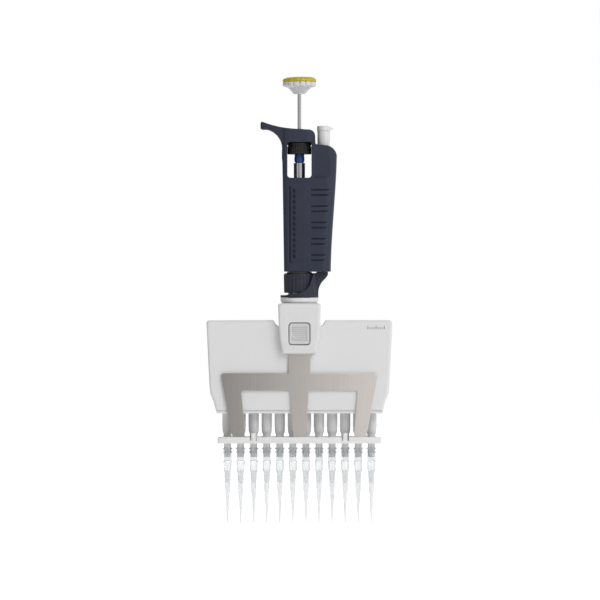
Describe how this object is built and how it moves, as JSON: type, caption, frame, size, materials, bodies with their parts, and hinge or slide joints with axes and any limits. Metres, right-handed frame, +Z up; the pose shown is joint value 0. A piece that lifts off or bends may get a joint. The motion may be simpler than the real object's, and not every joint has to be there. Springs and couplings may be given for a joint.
{
  "type": "multichannel pipette",
  "caption": "Upright hand pipette with a broad head, a row of nozzles with slim clear tips, a sprung plunger, a volume dial and a three-pronged tip ejector.",
  "frame": {"origin": "on the plunger axis, level with the tip ends", "axes": "+Z up the plunger axis, +X along the row of channels towards the ejector button, -Y towards the ejector plate and latch button"},
  "size_m": [0.1278, 0.031, 0.3072],
  "materials": {
    "handle_plastic": "fine moulded texture, dark navy",
    "dark_plastic": "moulded, near-black navy",
    "wheel_plastic": "moulded, near black",
    "blue_plastic": "moulded, mid blue",
    "white_plastic": "moulded, white",
    "yellow_plastic": "moulded, mustard yellow",
    "light_grey_plastic": "fine moulded texture, light grey",
    "nozzle_plastic": "moulded, mid grey",
    "stainless": "ground and polished stainless steel",
    "brushed_stainless": "sheet with a fine vertical grain",
    "spring_steel": "drawn wire",
    "brass": "turned brass",
    "bush_plastic": "turned bearing plastic, charcoal",
    "drum_plastic": "moulded, white with printed figures",
    "lens_clear": "clear polished window",
    "tip_clear": "clear moulded polypropylene",
    "seal_rubber": "moulded rubber"
  },
  "bodies": {
    "handle": {"handle": "handle_plastic", "rod_guide": "bush_plastic", "sleeve_bush": "bush_plastic", "volumeter_frame": "bush_plastic", "volumeter_lens": "lens_clear", "drive_nut": "brass", "threaded_spigot": "bush_plastic", "ejector_spring": "spring_steel"},
    "dial": {"thumbwheel": "wheel_plastic", "friction_collar": "blue_plastic", "drive_sleeve": "stainless", "units_drum": "drum_plastic"},
    "screw": {"drive_screw": "brass"},
    "tens": {"tens_drum": "drum_plastic"},
    "hundreds": {"hundreds_drum": "drum_plastic"},
    "plunger": {"button_cap": "yellow_plastic", "push_button": "white_plastic", "operating_rod": "stainless", "rod_foot": "brass"},
    "ejector": {"ejector_button": "light_grey_plastic", "ejector_rod": "stainless", "ejector_arm": "dark_plastic"},
    "nut": {"connecting_nut": "dark_plastic"},
    "head": {"housing_front": "light_grey_plastic", "housing_back": "light_grey_plastic", "housing_screws": "stainless", "nozzle_plate": "light_grey_plastic", "nozzles": "nozzle_plastic", "seal_retainer": "nozzle_plastic", "piston_seals": "seal_rubber", "guide_rods": "stainless", "neck": "stainless", "return_spring": "spring_steel", "blowout_spring": "spring_steel", "blowout_washer": "spring_steel"},
    "piston_set": {"piston_carrier": "bush_plastic", "piston_stem": "stainless", "pistons": "stainless"},
    "carriage": {"ejector_carriage": "light_grey_plastic", "carriage_collar": "white_plastic", "ejector_plate": "brushed_stainless", "stripper_bar": "white_plastic", "latch_pin": "stainless"},
    "latch": {"latch_button": "light_grey_plastic"},
    "tips": {"tip_01": "tip_clear", "tip_02": "tip_clear", "tip_03": "tip_clear", "tip_04": "tip_clear", "tip_05": "tip_clear", "tip_06": "tip_clear", "tip_07": "tip_clear", "tip_08": "tip_clear", "tip_09": "tip_clear", "tip_10": "tip_clear", "tip_11": "tip_clear", "tip_12": "tip_clear"}
  },
  "joints": [
    {"name": "volume_dial", "type": "hinge", "parent": "handle", "child": "dial", "pos_m": [0, 0, 0.257], "axis": [0, 0, 1], "range_deg": [0, 6500]},
    {"name": "screw_travel", "type": "slide", "parent": "dial", "child": "screw", "axis": [0, 0, -1], "range_m": [0, 0.0144]},
    {"name": "tens_turn", "type": "hinge", "parent": "handle", "child": "tens", "pos_m": [0, 0, 0.2097], "axis": [0, 0, 1], "range_deg": [0, 650]},
    {"name": "hundreds_turn", "type": "hinge", "parent": "handle", "child": "hundreds", "pos_m": [0, 0, 0.2173], "axis": [0, 0, 1], "range_deg": [0, 65.8]},
    {"name": "plunger_press", "type": "slide", "parent": "dial", "child": "plunger", "axis": [0, 0, -1], "range_m": [0, 0.0185], "stiffness_N_per_m": 220, "springref_m": -0.012},
    {"name": "piston_travel", "type": "slide", "parent": "head", "child": "piston_set", "axis": [0, 0, -1], "range_m": [0, 0.0186], "deforming": ["return_spring"]},
    {"name": "ejector_press", "type": "slide", "parent": "handle", "child": "ejector", "axis": [0, 0, -1], "range_m": [0, 0.009], "stiffness_N_per_m": 250, "springref_m": -0.012, "deforming": ["ejector_spring"]},
    {"name": "carriage_travel", "type": "slide", "parent": "head", "child": "carriage", "axis": [0, 0, -1], "range_m": [0, 0.0091]},
    {"name": "latch_press", "type": "hinge", "parent": "carriage", "child": "latch", "pos_m": [0, -0.0139, 0.1244], "axis": [-1, 0, 0], "range_deg": [0, 5], "stiffness_Nm_per_rad": 0.05, "springref_deg": -11.46},
    {"name": "nut_turn", "type": "hinge", "parent": "handle", "child": "nut", "pos_m": [0, 0, 0.165], "axis": [0, 0, 1], "range_deg": [0, 720]},
    {"name": "head_swivel", "type": "hinge", "parent": "handle", "child": "head", "pos_m": [0, 0, 0.163], "axis": [0, 0, 1], "continuous": true},
    {"name": "tips_off", "type": "slide", "parent": "carriage", "child": "tips", "axis": [0, 0, -1], "range_m": [0, 0.06]}
  ],
  "couplings": [
    {"joint": "volume_dial", "follows": "screw_travel", "rad_per_m": 7854},
    {"joint": "tens_turn", "follows": "screw_travel", "rad_per_m": 785.4},
    {"joint": "hundreds_turn", "follows": "screw_travel", "rad_per_m": 78.54},
    {"joint": "piston_travel", "follows": "plunger_press", "ratio": 1},
    {"joint": "carriage_travel", "follows": "ejector_press", "ratio": 1}
  ]
}
